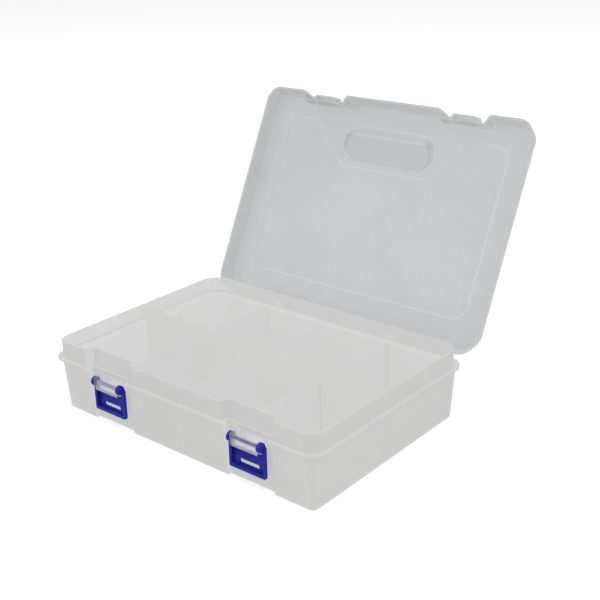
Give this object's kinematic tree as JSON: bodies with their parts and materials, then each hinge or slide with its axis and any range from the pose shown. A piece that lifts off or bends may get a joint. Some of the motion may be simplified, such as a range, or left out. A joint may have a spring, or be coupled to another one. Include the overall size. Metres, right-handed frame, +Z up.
{
  "type": "fishing tackle box",
  "caption": "Shallow rectangular tackle box in cloudy clear plastic, with a hinged lid, a hand scoop in the lid, flip-over latches and a partitioned tray.",
  "frame": {"origin": "on the underside of the tray, at the centre of the flange outline", "axes": "+X to the right seen from the latch side, +Y from the latches towards the hinge, +Z up"},
  "size_m": [0.2816, 0.3007, 0.2263],
  "materials": {
    "clear_pp_tray": "cloudy translucent polypropylene, satin gloss",
    "clear_pp_lid": "cloudy translucent polypropylene, satin gloss",
    "clear_pp_web": "cloudy translucent polypropylene, satin gloss",
    "clear_pp_divider": "cloudy translucent polypropylene, satin gloss",
    "blue_plastic": "moulded plastic, deep blue, semi-gloss"
  },
  "bodies": {
    "tray": {"base_tray": "clear_pp_tray", "hinge_web_left": "clear_pp_web", "hinge_web_center": "clear_pp_web", "hinge_web_right": "clear_pp_web"},
    "lid": {"lid": "clear_pp_lid"},
    "latch_left": {"latch_left": "blue_plastic"},
    "latch_right": {"latch_right": "blue_plastic"},
    "divider_front_left": {"divider_front_left": "clear_pp_divider"},
    "divider_front_center": {"divider_front_center": "clear_pp_divider"},
    "divider_front_right": {"divider_front_right": "clear_pp_divider"},
    "divider_back_left": {"divider_back_left": "clear_pp_divider"},
    "divider_back_center": {"divider_back_center": "clear_pp_divider"},
    "divider_back_right": {"divider_back_right": "clear_pp_divider"}
  },
  "joints": [
    {"name": "lid_hinge", "type": "hinge", "parent": "tray", "child": "lid", "pos_m": [0, 0.1003, 0.047], "axis": [-1, 0, 0], "range_deg": [-116.2, 63.8]},
    {"name": "latch_left_pivot", "type": "hinge", "parent": "tray", "child": "latch_left", "pos_m": [-0.074, -0.0955, 0.038], "axis": [1, 0, 0], "range_deg": [-180, 0]},
    {"name": "latch_right_pivot", "type": "hinge", "parent": "tray", "child": "latch_right", "pos_m": [0.074, -0.0955, 0.038], "axis": [1, 0, 0], "range_deg": [-180, 0]},
    {"name": "divider_front_left_lift", "type": "slide", "parent": "tray", "child": "divider_front_left", "axis": [0, 0, 1], "range_m": [0, 0.065]},
    {"name": "divider_front_center_lift", "type": "slide", "parent": "tray", "child": "divider_front_center", "axis": [0, 0, 1], "range_m": [0, 0.065]},
    {"name": "divider_front_right_lift", "type": "slide", "parent": "tray", "child": "divider_front_right", "axis": [0, 0, 1], "range_m": [0, 0.065]},
    {"name": "divider_back_left_lift", "type": "slide", "parent": "tray", "child": "divider_back_left", "axis": [0, 0, 1], "range_m": [0, 0.065]},
    {"name": "divider_back_center_lift", "type": "slide", "parent": "tray", "child": "divider_back_center", "axis": [0, 0, 1], "range_m": [0, 0.065]},
    {"name": "divider_back_right_lift", "type": "slide", "parent": "tray", "child": "divider_back_right", "axis": [0, 0, 1], "range_m": [0, 0.065]}
  ]
}
